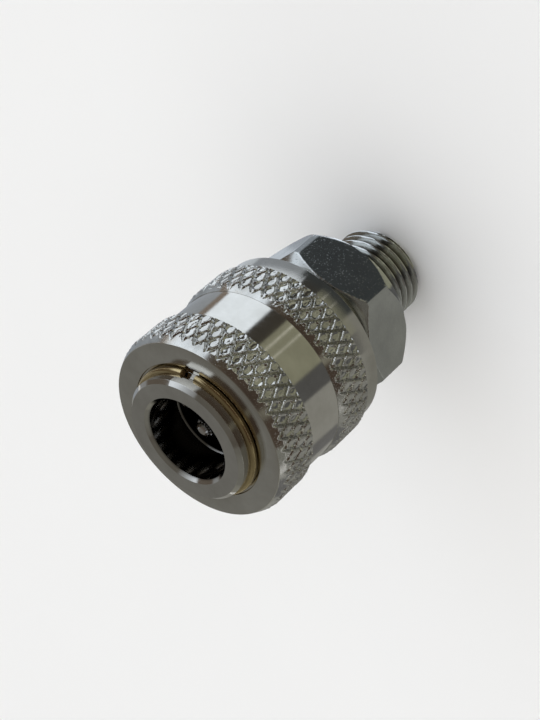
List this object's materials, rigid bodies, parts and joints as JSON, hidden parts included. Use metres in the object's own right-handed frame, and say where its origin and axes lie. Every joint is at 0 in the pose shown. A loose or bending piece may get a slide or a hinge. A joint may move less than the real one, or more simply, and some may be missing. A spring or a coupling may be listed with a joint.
{
  "type": "liquid cooling quick coupling",
  "caption": "Ball-lock quick coupling socket with a knurled pull-back sleeve, a spring-loaded shut-off valve and a hexagon adapter ending in a G1/4 parallel male thread.",
  "frame": {"origin": "centre of the threaded end's face, the lowest face of the part when it stands on its thread with the mouth up", "axes": "+Z along the coupling axis from the thread to the mouth, +Y square to one hexagon flat, +X through one hexagon corner"},
  "size_m": [0.027, 0.027, 0.044],
  "materials": {
    "nickel_sleeve": "bright nickel plate, knurled",
    "nickel_body": "polished nickel plate",
    "nickel_hex": "nickel plate, slightly dull",
    "ring_brass": "drawn wire",
    "valve_brass": "turned",
    "spring_steel": "drawn wire",
    "ball_steel": "polished",
    "seal_rubber": "moulded nitrile"
  },
  "bodies": {
    "housing": {"adapter": "nickel_hex", "adapter_seal": "seal_rubber", "socket_body": "nickel_body", "plug_seal": "seal_rubber", "snap_ring": "ring_brass", "valve_guide": "valve_brass", "valve_spring": "spring_steel"},
    "spring_stage": {"sleeve_spring": "spring_steel"},
    "sleeve": {"sleeve": "nickel_sleeve"},
    "poppet": {"valve_poppet": "valve_brass", "valve_seal": "seal_rubber"},
    "ball_1": {"ball_1": "ball_steel"},
    "ball_2": {"ball_2": "ball_steel"},
    "ball_3": {"ball_3": "ball_steel"},
    "ball_4": {"ball_4": "ball_steel"},
    "ball_5": {"ball_5": "ball_steel"},
    "ball_6": {"ball_6": "ball_steel"},
    "ball_7": {"ball_7": "ball_steel"},
    "ball_8": {"ball_8": "ball_steel"}
  },
  "joints": [
    {"name": "sleeve_spin", "type": "hinge", "parent": "housing", "child": "spring_stage", "pos_m": [0, 0, 0.03], "axis": [0, 0, 1], "continuous": true},
    {"name": "sleeve_slide", "type": "slide", "parent": "spring_stage", "child": "sleeve", "axis": [0, 0, -1], "range_m": [0, 0.0029], "stiffness_N_per_m": 3000, "springref_m": -0.004, "deforming": ["sleeve_spring"]},
    {"name": "valve_slide", "type": "slide", "parent": "housing", "child": "poppet", "axis": [0, 0, -1], "range_m": [0, 0.003], "stiffness_N_per_m": 1500, "springref_m": -0.005, "deforming": ["valve_spring"]},
    {"name": "ball_1_slide", "type": "slide", "parent": "housing", "child": "ball_1", "axis": [1, 0, 0], "range_m": [0, 0.001]},
    {"name": "ball_2_slide", "type": "slide", "parent": "housing", "child": "ball_2", "axis": [0.7071, 0.7071, 0], "range_m": [0, 0.001]},
    {"name": "ball_3_slide", "type": "slide", "parent": "housing", "child": "ball_3", "axis": [0, 1, 0], "range_m": [0, 0.001]},
    {"name": "ball_4_slide", "type": "slide", "parent": "housing", "child": "ball_4", "axis": [-0.7071, 0.7071, 0], "range_m": [0, 0.001]},
    {"name": "ball_5_slide", "type": "slide", "parent": "housing", "child": "ball_5", "axis": [-1, 0, 0], "range_m": [0, 0.001]},
    {"name": "ball_6_slide", "type": "slide", "parent": "housing", "child": "ball_6", "axis": [-0.7071, -0.7071, 0], "range_m": [0, 0.001]},
    {"name": "ball_7_slide", "type": "slide", "parent": "housing", "child": "ball_7", "axis": [0, -1, 0], "range_m": [0, 0.001]},
    {"name": "ball_8_slide", "type": "slide", "parent": "housing", "child": "ball_8", "axis": [0.7071, -0.7071, 0], "range_m": [0, 0.001]}
  ],
  "couplings": [
    {"joint": "ball_1_slide", "follows": "sleeve_slide", "ratio": 0.3448},
    {"joint": "ball_2_slide", "follows": "sleeve_slide", "ratio": 0.3448},
    {"joint": "ball_3_slide", "follows": "sleeve_slide", "ratio": 0.3448},
    {"joint": "ball_4_slide", "follows": "sleeve_slide", "ratio": 0.3448},
    {"joint": "ball_5_slide", "follows": "sleeve_slide", "ratio": 0.3448},
    {"joint": "ball_6_slide", "follows": "sleeve_slide", "ratio": 0.3448},
    {"joint": "ball_7_slide", "follows": "sleeve_slide", "ratio": 0.3448},
    {"joint": "ball_8_slide", "follows": "sleeve_slide", "ratio": 0.3448}
  ]
}
